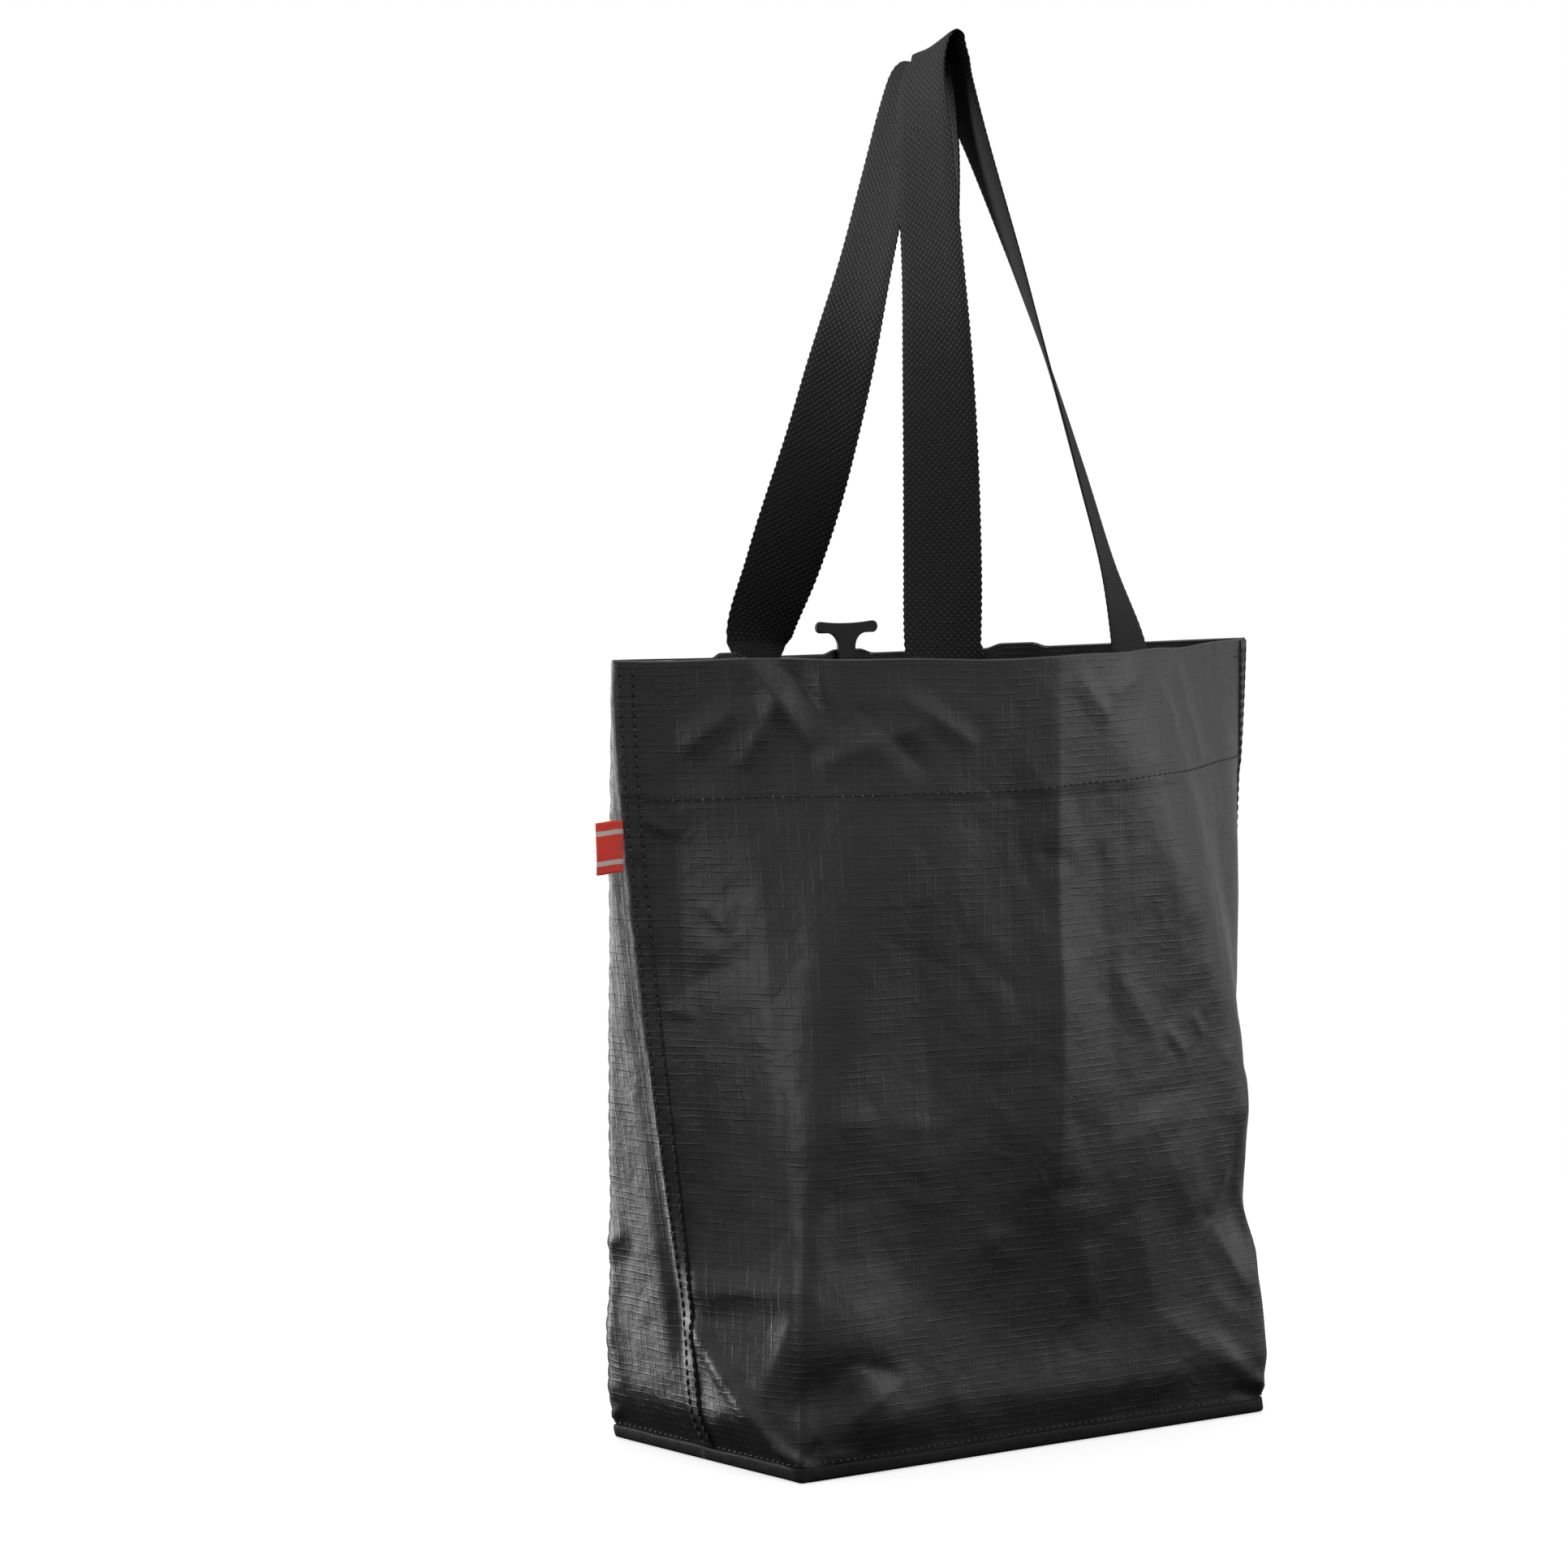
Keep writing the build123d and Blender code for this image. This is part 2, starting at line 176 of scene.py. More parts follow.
def crease(along, height, start, end, width, lift):
    """A straight fold between two places on the cloth, that stands out (or in) by lift at its middle."""
    dx, dz = end[0] - start[0], end[1] - start[1]
    length = math.hypot(dx, dz)
    t = ((along - start[0]) * dx + (height - start[1]) * dz) / length**2
    off = ((along - start[0]) * dz - (height - start[1]) * dx) / length
    body = np.clip(4 * t * (1 - t), 0, 1) ** 0.6
    return lift * tent(off, width) * body


def dome(along, height, centre, radius, lift):
    """A soft round dent or bulge; radius is (along, up)."""
    t = ((along - centre[0]) / radius[0]) ** 2 + ((height - centre[1]) / radius[1]) ** 2
    return lift * np.exp(-t)


def crumple(along, height, seed, count, size, steepness, upright):
    """Many small random folds laid over one another: flat facets between crisp lines."""
    rng = random.Random(seed)
    total = np.zeros_like(along)
    for _ in range(count):
        centre = (rng.uniform(0, PANEL_WIDTH), rng.uniform(0, BODY_HEIGHT))
        angle = rng.uniform(0, math.pi)
        if rng.random() < upright:
            angle = math.pi / 2 + rng.gauss(0, 0.22)
        length = size * rng.uniform(0.6, 1.8)
        width = length * rng.uniform(0.18, 0.5)
        lift = width * steepness * rng.uniform(-1, 1)
        half = (math.cos(angle) * length / 2, math.sin(angle) * length / 2)
        start = (centre[0] - half[0], centre[1] - half[1])
        end = (centre[0] + half[0], centre[1] + half[1])
        total += crease(along, height, start, end, width, lift)
    return total


def edge_height(side, along):
    """How far the mouth's edge is from its mean height."""
    centred = along - PANEL_WIDTH / 2
    middle = np.cos(np.pi * centred / PANEL_WIDTH)
    if side == "front":
        return 0.5 * np.sin(centred / 31) - 0.6 * middle + 0.4 * np.sin(centred / 13 + 1)
    mounds = sum(2.3 * smooth(17, 8, np.abs(centred - place)) for place in (-100, 0, 100))
    return -5.2 * middle**1.2 + mounds


# Layers of random folds: how many, their size, their steepness, and the share that runs up the cloth.
CRUMPLES = [(26, 150, 0.032, 0.7), (90, 60, 0.05, 0.4), (260, 24, 0.05, 0.0)]
CRUMPLE_SEEDS = {"front": 11, "back": 57}

# Creases are (start, end, width, lift) and dents are (centre, radius, lift), in places on the cloth.
FRONT_CREASES = [
    ((225, 396), (228, 130), 30, 3.2),
    # the hollow beside the left seam, and beside the right one
    ((27, 400), (20, 95), 34, -3.0),
    # the left corner's tip, where the flat bag's base fold crosses the corner
    ((4, 86), (84, 92), 11, 1.6),
    ((-6, 84), (77, -2), 9, 2.2),
    ((80, 94), (47, 26), 12, 0.8),
    ((64, 330), (62, 140), 16, 1.0),
    # the right corner's tip
    ((374, 176), (338, 104), 15, 2.6),
    ((338, 104), (366, 62), 13, 2.0),
    ((362, 120), (384, 70), 9, 1.6),
    ((392, 170), (384, 110), 10, 1.5),
    # wrinkles pulled by the left strap
    ((58, 398), (94, 350), 11, 3.0),
    ((74, 400), (108, 356), 10, -2.6),
    ((84, 384), (58, 340), 14, 2.4),
    ((98, 398), (102, 352), 9, 1.8),
    ((94, 342), (152, 362), 13, 2.4),
    ((116, 370), (152, 336), 11, -2.2),
    ((132, 378), (178, 350), 10, 1.9),
    ((30, 350), (62, 372), 12, 1.8),
    # crescents below the hem at the left
    ((8, 318), (26, 308), 6, 0.9),
    ((34, 276), (48, 262), 5, 0.8),
    ((12, 225), (26, 221), 6, 0.7),
    # the small turned-up facet near the base
    ((96, 57), (138, 46), 10, -1.5),
    ((97, 57), (100, 28), 8, -1.0),
    ((138, 46), (100, 28), 9, 1.2),
    # folds on the right half
    ((236, 385), (262, 360), 10, 1.2),
    ((262, 372), (300, 384), 12, 1.1),
    ((300, 384), (330, 352), 12, 1.2),
    ((340, 384), (366, 330), 16, 1.4),
    ((255, 300), (268, 150), 26, -1.2),
    ((262, 240), (300, 190), 14, 1.1),
    ((300, 205), (318, 188), 6, 1.0),
    ((322, 210), (332, 196), 5, 0.8),
    ((285, 165), (330, 100), 20, 1.2),
    ((300, 330), (318, 220), 26, 1.3),
    # pinches at the base's corners
    ((60, 16), (84, 5), 5, 1.6),
    ((84, 20), (76, 3), 5, -1.6),
    ((88, 12), (110, 8), 6, 1.0),
    ((366, 20), (386, 5), 6, 1.6),
    ((352, 14), (374, 8), 6, -1.2),
    ((300, 60), (372, 12), 16, 1.4),
    ((335, 45), (376, 10), 8, 1.0),
]
FRONT_DENTS = [
    ((82, 36), (20, 24), -5.5),
    ((368, 108), (26, 30), -6.5),
    ((414, 270), (30, 80), 6.5),
    ((408, 40), (24, 30), 2.5),
    ((110, 70), (34, 20), 1.6),
    ((150, 200), (40, 90), -2.5),
    ((300, 120), (60, 60), 2.0),
]
BACK_CREASES = [
    ((225, 396), (224, 120), 34, 2.6),
    ((34, 110), (78, 92), 12, 1.6),
    ((74, 94), (52, 30), 14, 1.6),
    ((416, 112), (372, 92), 12, 1.6),
    ((376, 94), (398, 34), 14, 1.6),
    ((110, 380), (160, 330), 14, 1.6),
    ((340, 386), (290, 320), 16, 1.5),
    ((120, 60), (160, 30), 12, 1.4),
    ((330, 66), (290, 34), 12, -1.4),
    ((60, 18), (84, 5), 5, 1.5),
    ((366, 20), (388, 5), 6, 1.5),
]
BACK_DENTS = [
    ((86, 40), (22, 26), -3.0),
    ((364, 44), (22, 26), -3.0),
    ((160, 190), (50, 90), -2.5),
    ((310, 150), (60, 70), 2.5),
]


def relief(side, along, height):
    """How far the cloth stands out from the plain section."""
    from_right = PANEL_WIDTH - along
    calm = 26 if side == "front" else 70
    free = smooth(0, 26, height) * (0.2 + 0.8 * smooth(0, calm, along) * smooth(0, 140, from_right))
    free = free * (1 - 0.45 * smooth(HEM_LINE - 10, HEM_LINE + 20, height))
    total = np.zeros_like(along)
    for layer, folds in enumerate(CRUMPLES):
        total += crumple(along, height, CRUMPLE_SEEDS[side] + layer, *folds)
    total = total * free
    creases, dents = (FRONT_CREASES, FRONT_DENTS) if side == "front" else (BACK_CREASES, BACK_DENTS)
    for start, end, width, lift in creases:
        total += crease(along, height, start, end, width, lift)
    for centre, radius, lift in dents:
        total += dome(along, height, centre, radius, lift)
    total = total * smooth(0, SEAM_FLAT, along) * smooth(0, SEAM_FLAT, from_right)
    if side == "front":
        roof = ROOF_RISE * np.clip(1 - np.abs(along - PANEL_WIDTH / 2) / ROOF_HALF_WIDTH, 0, None)
        total += roof * smooth(40, 170, height) * (1 - 0.75 * smooth(170, BODY_HEIGHT, height))
    total += HEM_STEP * smooth(HEM_LINE - 3, HEM_LINE + 1, height)
    seam = smooth(14, 0, np.minimum(along, from_right))
    belly = BELLY * smooth(2, 32, height) * np.exp(-height / 80)
    return total + belly * (1 - seam * smooth(35, 80, height))


def outward(points):
    """Unit normals of a grid of points, outwards on the front."""
    return unit(np.cross(np.gradient(points, axis=1), np.gradient(points, axis=0)))


def shaped(side):
    """A panel's surface and its outward normals, on the grid of ACROSS and UP."""
    rows = []
    for height in UP:
        x, y = section(side, height, ACROSS)
        lift = edge_height(side, ACROSS) * smooth(HEM_LINE - 80, BODY_HEIGHT, height)
        rows.append(np.stack([x, -y, height + lift], axis=1))
    points = np.array(rows)
    along, up = np.meshgrid(ACROSS, UP)
    points = points + outward(points) * relief(side, along, up)[..., None]
    points[..., 1] = np.minimum(points[..., 1], -LAMINATE / 2 - 0.05)
    normals = outward(points)
    if side == "back":
        points[..., 1] *= -1
        normals[..., 1] *= -1
    return points, normals


SURFACES = {side: shaped(side) for side in ("front", "back")}


def on_cloth(side, along, height, proud=0.0):
    """Points on a panel at any places and heights, moved outwards by proud, and the normals there."""
    along, height = np.broadcast_arrays(np.asarray(along, float), np.asarray(height, float))
    column = np.clip(along / (ACROSS[1] - ACROSS[0]), 0, len(ACROSS) - 1.0001)
    row = np.clip((height - UP[0]) / (UP[1] - UP[0]), 0, len(UP) - 1.0001)
    left, low = column.astype(int), row.astype(int)
    u, v = (column - left)[..., None], (row - low)[..., None]
    found = []
    for grid in SURFACES[side]:
        below = grid[low, left] * (1 - u) + grid[low, left + 1] * u
        above = grid[low + 1, left] * (1 - u) + grid[low + 1, left + 1] * u
        found.append(below * (1 - v) + above * v)
    points, normals = found[0], unit(found[1])
    return points + normals * np.broadcast_to(proud, along.shape)[..., None], normals


def cloth(side, places, heights, proud=0.0):
    along, height = np.meshgrid(places, heights)
    return on_cloth(side, along, height, proud)[0]


# ---- meshes ----
def add_object(name, data):
    made = bpy.data.objects.new(name, data)
    bpy.context.scene.collection.objects.link(made)
    return made


def make_piece(name, points, faces, uv=None):
    mesh = bpy.data.meshes.new(name)
    mesh.from_pydata([tuple(p) for p in np.asarray(points, float) * MM], [], [tuple(f) for f in faces])
    if uv is not None:
        layer = mesh.uv_layers.new(name="cloth")
        loops = np.zeros(len(mesh.loops), int)
        mesh.loops.foreach_get("vertex_index", loops)
        layer.data.foreach_set("uv", (np.asarray(uv, float) * MM)[loops].astype(np.float32).ravel())
    mesh.polygons.foreach_set("use_smooth", [True] * len(mesh.polygons))
    mesh.update()
    return add_object(name, mesh)


def grid_faces(rows, columns, closed=False, flip=False, first=0):
    faces = []
    for row in range(rows - 1):
        for column in range(columns if closed else columns - 1):
            right = (column + 1) % columns
            face = [row * columns + column, row * columns + right,
                    (row + 1) * columns + right, (row + 1) * columns + column]
            faces.append([first + corner for corner in (reversed(face) if flip else face)])
    return faces


def sheet_piece(name, outer, inner, uv, flip=False):
    """A sheet with real thickness: an outer and an inner grid, joined by a rim."""
    rows, columns = outer.shape[:2]
    count = rows * columns
    points = np.concatenate([outer.reshape(-1, 3), inner.reshape(-1, 3)])
    faces = grid_faces(rows, columns, flip=flip) + grid_faces(rows, columns, flip=not flip, first=count)
    loop = list(range(columns))
    loop += [row * columns + columns - 1 for row in range(1, rows)]
    loop += [(rows - 1) * columns + column for column in range(columns - 2, -1, -1)]
    loop += [row * columns for row in range(rows - 2, 0, -1)]
    for here, after in zip(loop, loop[1:] + loop[:1]):
        face = [here, here + count, after + count, after]
        faces.append(list(reversed(face)) if flip else face)
    piece = make_piece(name, points, faces, np.concatenate([uv.reshape(-1, 2)] * 2))
    sharpen(piece, 50)
    return piece


def sharpen(piece, degrees):
    """Marks edges sharper than an angle, so that rims and folds stay crisp."""
    piece.data.set_sharp_from_angle(angle=math.radians(degrees))


def cloth_uv(places, heights):
    return np.stack(np.meshgrid(places, heights), axis=2)


def cloth_piece(name, side, places, heights, proud, thickness):
    outer = cloth(side, places, heights, proud)
    inner = cloth(side, places, heights, proud - thickness)
    return sheet_piece(name, outer, inner, cloth_uv(places, heights), flip=side == "back")


def tube(path, radius, sides, first):
    """Points and faces of a closed thread along a path, with narrowed ends."""
    tangent = unit(np.gradient(np.asarray(path, float), axis=0))
    up = np.array([0.0, 0.0, 1.0]) if abs(tangent[0][2]) < 0.8 else np.array([0.0, 1.0, 0.0])
    side = unit(np.cross(tangent, up))
    other = np.cross(tangent, side)
    rings = []
    for index, centre in enumerate(path):
        size = radius * (0.55 if index in (0, len(path) - 1) else 1)
        for corner in range(sides):
            turn = 2 * math.pi * corner / sides
            rings.append(centre + size * (math.cos(turn) * side[index] + math.sin(turn) * other[index]))
    faces = grid_faces(len(path), sides, closed=True, first=first)
    faces.append([first + corner for corner in reversed(range(sides))])
    last = first + (len(path) - 1) * sides
    faces.append([last + corner for corner in range(sides)])
    return rings, faces


def stitches(name, rows, pitch, share=0.74, radius=0.3, bow=0.34):
    """Rows of separate stitches, which arch out and dip in at their ends. A row is (points, normals)."""
    points, faces = [], []
    for line, normals in rows:
        far = distances(line)
        count = int(far[-1] // pitch)
        for index in range(count):
            begin = (index + (1 - share) / 2) * far[-1] / count
            path = []
            for t in np.linspace(0, 1, 5):
                at = begin + share * far[-1] / count * t
                lift = bow * math.sin(math.pi * t) ** 0.7 - 0.1
                path.append(at_distance(at, far, line) + at_distance(at, far, normals) * lift)
            rings, more = tube(path, radius, 5, len(points))
            points += rings
            faces += more
    return make_piece(name, points, faces)


# ---- materials ----
class Shader:
    """A material's node tree, with short calls for its maths."""

    def __init__(self, name):
        self.material = bpy.data.materials.new(name)
        self.material.use_nodes = True
        self.tree = self.material.node_tree
        self.tree.nodes.clear()
        self.output = self.node("ShaderNodeOutputMaterial")
        self.bsdf = self.node("ShaderNodeBsdfPrincipled")
        self.tree.links.new(self.bsdf.outputs[0], self.output.inputs[0])

    def node(self, kind, **settings):
        made = self.tree.nodes.new(kind)
        for key, value in settings.items():
            setattr(made, key, value)
        return made

    def put(self, socket, value):
        if isinstance(value, bpy.types.NodeSocket):
            self.tree.links.new(value, socket)
        else:
            socket.default_value = value

    def math(self, operation, first, second=0.0, third=0.0):
        made = self.node("ShaderNodeMath", operation=operation)
        for socket, value in zip(made.inputs, (first, second, third)):
            self.put(socket, value)
        return made.outputs[0]

    def fill(self, made, **values):
        for name, value in values.items():
            self.put(made.inputs[name.replace("_", " ")], value)

    def noise(self, vector, scale, detail=3.0, roughness=0.55, output="Fac"):
        made = self.node("ShaderNodeTexNoise")
        self.fill(made, Vector=vector, Scale=scale, Detail=detail, Roughness=roughness)
        return made.outputs[output]

    def stretched(self, vector, scale):
        made = self.node("ShaderNodeVectorMath", operation="MULTIPLY")
        self.put(made.inputs[0], vector)
        made.inputs[1].default_value = scale
        return made.outputs[0]

    def ramp(self, value, low, high, to_low=0.0, to_high=1.0):
        made = self.node("ShaderNodeMapRange", interpolation_type="SMOOTHSTEP")
        for socket, given in zip(made.inputs, (value, low, high, to_low, to_high)):
            self.put(socket, given)
        return made.outputs[0]

    def colours(self, value, low, high):
        made = self.node("ShaderNodeMix", data_type="RGBA")
        self.put(made.inputs[0], value)
        made.inputs[6].default_value = (*low, 1)
        made.inputs[7].default_value = (*high, 1)
        return made.outputs[2]

    def bump(self, height, distance, strength=1.0, normal=None):
        made = self.node("ShaderNodeBump")
        self.fill(made, Height=height, Distance=distance, Strength=strength)
        if normal is not None:
            self.fill(made, Normal=normal)
        return made.outputs[0]

    def cloth_place(self):
        made = self.node("ShaderNodeUVMap", uv_map="cloth")
        split = self.node("ShaderNodeSeparateXYZ")
        self.put(split.inputs[0], made.outputs[0])
        return made.outputs[0], split.outputs[0], split.outputs[1]

    def object_place(self):
        return self.node("ShaderNodeTexCoord").outputs["Object"]

    def finish(self, **values):
        self.fill(self.bsdf, **values)
        return self.material


def laminate_material(name, shade, roughness):
    """Black woven tapes under a clear film: slubby lines both ways, a soft gloss, and fine crinkles."""
    s = Shader(name)
    uv, across, up = s.cloth_place()
    weft_pitch = 0.0034
    warp_pitch = 0.0049
    turn = 2 * math.pi
    wander = s.noise(s.stretched(uv, (24, 120, 1)), 1.0, 3.0)
    weft = s.math("SINE", s.math("MULTIPLY_ADD", up, turn / weft_pitch, s.math("MULTIPLY", wander, 7.0)))
    warp = s.math("SINE", s.math("MULTIPLY_ADD", across, turn / warp_pitch, s.math("MULTIPLY", wander, 2.0)))
    slub = s.ramp(s.noise(s.stretched(uv, (60, 520, 1)), 1.0, 2.0, 0.6), 0.4, 0.64, 0.12, 1.0)
    warp_slub = s.ramp(s.noise(s.stretched(uv, (430, 40, 1)), 1.0, 2.0, 0.6), 0.4, 0.66, 0.15, 1.0)
    weft_line = s.math("MULTIPLY", s.math("POWER", s.math("MAXIMUM", weft, 0.0), 3.0), slub)
    warp_line = s.math("MULTIPLY", s.math("POWER", s.math("MAXIMUM", warp, 0.0), 6.0), warp_slub)
    weave = s.math("ADD", s.math("MULTIPLY", weft_line, 0.8), s.math("MULTIPLY", warp_line, 0.75))
    place = s.object_place()
    cockle = s.noise(place, 95, 3.0, 0.6)
    crinkle = s.node("ShaderNodeTexVoronoi", feature="DISTANCE_TO_EDGE")
    warped = s.node("ShaderNodeVectorMath", operation="ADD")
    s.put(warped.inputs[0], uv)
    s.put(warped.inputs[1], s.stretched(s.noise(uv, 40, 1.0, 0.5, "Color"), (0.02, 0.02, 0)))
    s.fill(crinkle, Vector=warped.outputs[0], Scale=42)
    crisp = s.math("MULTIPLY", s.ramp(crinkle.outputs[0], 0.0, 0.12, 1.0, 0.0),
                   s.ramp(s.noise(place, 14, 2.0), 0.56, 0.7))
    normal = s.bump(s.noise(place, 24, 2.0, 0.5), 0.0011)
    normal = s.bump(crisp, 0.00016, 0.7, normal)
    normal = s.bump(cockle, 0.00042, 1.0, normal)
    normal = s.bump(weave, 0.00011, 1.0, normal)
    scuffs = s.noise(s.stretched(uv, (25, 160, 1)), 1.0, 4.0, 0.65)
    low = tuple(channel * shade for channel in (0.88, 0.91, 1.0))
    high = tuple(channel * shade * 1.9 for channel in (0.95, 0.96, 1.0))
    # The weave's ridges are painted lighter, a painted highlight along the woven lines; the scuffs add real
    # wear in random patches.
    weave_highlight_and_scuffs = s.math("ADD", s.math("MULTIPLY", weave, 0.45), s.ramp(scuffs, 0.5, 0.85, 0.0, 0.35))
    colour = s.colours(weave_highlight_and_scuffs, low, high)
    rough = s.math("ADD", s.math("MULTIPLY", scuffs, 0.14), roughness - 0.05)
    return s.finish(Base_Color=colour, Roughness=rough, Normal=normal, Specular_IOR_Level=0.5)


def webbing_material(name):
    """Black woven webbing: staggered rows of small picks, their crowns painted lighter as painted highlights.
    """
    s = Shader(name)
    uv, across, along = s.cloth_place()
    pick = 0.00168
    turn = math.pi / pick
    wander = s.noise(uv, 300, 1.0)
    wave_across = s.math("SINE", s.math("MULTIPLY", across, turn))
    wave_along = s.math("SINE", s.math("MULTIPLY_ADD", along, turn, s.math("MULTIPLY", wander, 0.5)))
    both = s.math("MULTIPLY", wave_across, wave_along)
    lumps = s.math("POWER", s.math("MAXIMUM", both, 0.0), 0.8)
    pick_crown_highlight = s.ramp(both, 0.3, 0.9)
    fibre = s.noise(s.stretched(uv, (7000, 1500, 1)), 1.0, 2.0)
    normal = s.bump(lumps, 0.0005)
    normal = s.bump(fibre, 0.00008, 0.7, normal)
    # The picks' crowns are painted lighter: painted highlights, varied at random.
    tone = s.math("MULTIPLY", pick_crown_highlight, s.ramp(s.noise(uv, 500, 2.0), 0.3, 0.7, 0.35, 1.0))
    colour = s.colours(tone, (0.0018, 0.0019, 0.0022), (0.026, 0.026, 0.029))
    return s.finish(Base_Color=colour, Roughness=0.66, Normal=normal, Specular_IOR_Level=0.22)


def thread_material(name, dark, light):
    s = Shader(name)
    place = s.object_place()
    strand = s.noise(place, 2600, 2.0)
    colour = s.colours(strand, dark, light)
    return s.finish(Base_Color=colour, Roughness=0.5, Normal=s.bump(strand, 0.0001))


def binding_material(name):
    s = Shader(name)
    uv, across, up = s.cloth_place()
    ribs = s.math("SINE", s.math("MULTIPLY", across, 2 * math.pi / 0.0014))
    cockle = s.noise(s.object_place(), 160, 3.0)
    normal = s.bump(cockle, 0.0004)
    normal = s.bump(ribs, 0.00008, 0.6, normal)
    # Darker than the body cloth: partly the binding's own black, partly painted shade, as it lies in the shade
    # under the cloth's overhang at the foot.
    colour = s.colours(cockle, (0.0012, 0.0013, 0.0015), (0.0045, 0.0048, 0.0052))
    return s.finish(Base_Color=colour, Roughness=0.6, Normal=normal, Specular_IOR_Level=0.22)


def plastic_material(name):
    s = Shader(name)
    place = s.object_place()
    grain = s.noise(place, 1800, 3.0)
    cloudy = s.noise(place, 60, 2.0)
    colour = s.colours(cloudy, (0.0022, 0.0023, 0.0025), (0.0052, 0.0054, 0.0058))
    rough = s.ramp(cloudy, 0.3, 0.7, 0.5, 0.62)
    return s.finish(Base_Color=colour, Roughness=rough, Normal=s.bump(grain, 0.00005))


def board_material(name):
    s = Shader(name)
    place = s.object_place()
    fibres = s.noise(s.stretched(place, (60, 900, 900)), 1.0, 3.0)
    colour = s.colours(fibres, (0.016, 0.016, 0.017), (0.04, 0.04, 0.042))
    return s.finish(Base_Color=colour, Roughness=0.75, Normal=s.bump(fibres, 0.0002))


def tag_material(name):
    """Red woven ribbon with two plain off-white stripes along it."""
    s = Shader(name)
    uv, across, up = s.cloth_place()
    stripes = []
    for place in (0.0072, -0.0072):
        off = s.math("ABSOLUTE", s.math("SUBTRACT", up, place))
        ragged = s.math("ADD", off, s.math("MULTIPLY", s.noise(uv, 900, 2.0), 0.0005))
        stripes.append(s.ramp(ragged, 0.0012, 0.0016, 1.0, 0.0))
    stripe = s.math("MAXIMUM", *stripes)
    ribs = s.math("SINE", s.math("MULTIPLY", up, 2 * math.pi / 0.0005))
    threads = s.math("SINE", s.math("MULTIPLY", across, 2 * math.pi / 0.0004))
    weave = s.math("MULTIPLY", ribs, threads)
    colour = s.colours(stripe, (0.95, 0.062, 0.035), (0.74, 0.66, 0.62))
    shaded = s.node("ShaderNodeMix", data_type="RGBA", blend_type="MULTIPLY")
    shaded.inputs[0].default_value = 1.0
    s.put(shaded.inputs[6], colour)
    s.put(shaded.inputs[7], s.colours(s.ramp(weave, -1.0, 1.0), (0.8, 0.8, 0.8), (1, 1, 1)))
    return s.finish(Base_Color=shaded.outputs[2], Roughness=0.8, Normal=s.bump(weave, 0.00008),
                    Specular_IOR_Level=0.25, Sheen_Weight=0.2)


LAMINATE_FINISH = laminate_material("black_laminate", 0.0105, 0.36)
INNER_FINISH = laminate_material("black_laminate_inside", 0.0075, 0.48)
BINDING_FINISH = binding_material("black_binding")
WEBBING_FINISH = webbing_material("black_webbing")
THREAD_FINISH = thread_material("black_thread", (0.003, 0.003, 0.0035), (0.012, 0.012, 0.013))
BASE_THREAD_FINISH = thread_material("grey_base_thread", (0.012, 0.012, 0.013), (0.06, 0.06, 0.062))
MARK_FINISH = thread_material("needle_marks", (0.16, 0.16, 0.165), (0.4, 0.4, 0.41))
# A lighter copy of the laminate for the mouth's folded edge: a painted highlight along the fold, with the
# laminate's own scuffs.
EDGE_HIGHLIGHT_FINISH = laminate_material("mouth_fold_painted_highlight", 0.03, 0.42)
BOARD_FINISH = board_material("base_board")
TAG_FINISH = tag_material("red_ribbon")
TAB_FINISH = plastic_material("black_plastic")


def dress(piece, finish, body="root"):
    """Gives a piece its material and its body."""
    piece.data.materials.clear()
    piece.data.materials.append(finish)
    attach(piece, body)


def sew(name, node, rows, pitch, finish=THREAD_FINISH, slot="thread", **shape):
    """Rows of thread that stand for a CAD node."""
    row = stitches(name, rows, pitch, **shape)
    dress(row, finish)
    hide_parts(node)


# ---- body of the bag ----
def panels():
    for side in ("front", "back"):
        panel = cloth_piece(f"{side}_panel_cloth", side, ACROSS, UP, 0.0, LAMINATE)
        dress(panel, LAMINATE_FINISH)
        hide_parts(f"{side}_panel")


def hem_facings():
    """The mouth's edge is turned in and down to the hem's row of stitching."""
    places = np.linspace(1.5, PANEL_WIDTH - 1.5, 150)
    heights = np.linspace(HEM_LINE - 5, BODY_HEIGHT - 0.5, 22)
    for side in ("front", "back"):
        facing = cloth_piece(f"{side}_hem_inside", side, places, heights, -LAMINATE - FACING_GAP, LAMINATE)
        dress(facing, INNER_FINISH)
        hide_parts(f"{side}_hem_facing")
        edge = rounded_strip(f"{side}_mouth_fold", side, ACROSS)
        # The fold gets the lighter edge finish, a painted highlight along the mouth.
        dress(edge, EDGE_HIGHLIGHT_FINISH)


def rounded_strip(name, side, places):
    """The folded top edge: a narrow half round along the mouth that joins the panel to its hem facing."""
    steps = 7
    radius = LAMINATE + 0.1
    points, normals = on_cloth(side, places, BODY_HEIGHT, 0)
    middle = points - normals * radius
    middle[:, 2] += 0.05
    rows = []
    for turn in np.linspace(0, math.pi, steps):
        up = np.array([0, 0, radius * math.sin(turn)])
        rows.append(middle + normals * radius * math.cos(turn) + up)
    uv = cloth_uv(places, np.linspace(BODY_HEIGHT, BODY_HEIGHT + math.pi * radius, steps))
    faces = grid_faces(steps, len(places), flip=side == "back")
    return make_piece(name, np.array(rows).reshape(-1, 3), faces, uv.reshape(-1, 2))


def hem_stitching():
    places = np.arange(10, PANEL_WIDTH - 10, 1.0)
    rows = []
    for side, hand in (("front", 1), ("back", -1)):
        drift = HEM_DRIFT * (places / PANEL_WIDTH - 0.5) * hand
        rows.append(on_cloth(side, places, HEM_LINE + 2 + drift, 0.05))
    sew("hem_thread", "hem_stitching", rows, STITCH_PITCH, radius=0.42, bow=0.4)
    needle_marks("hem_needle_marks", rows, seed=5, keep=0.75)


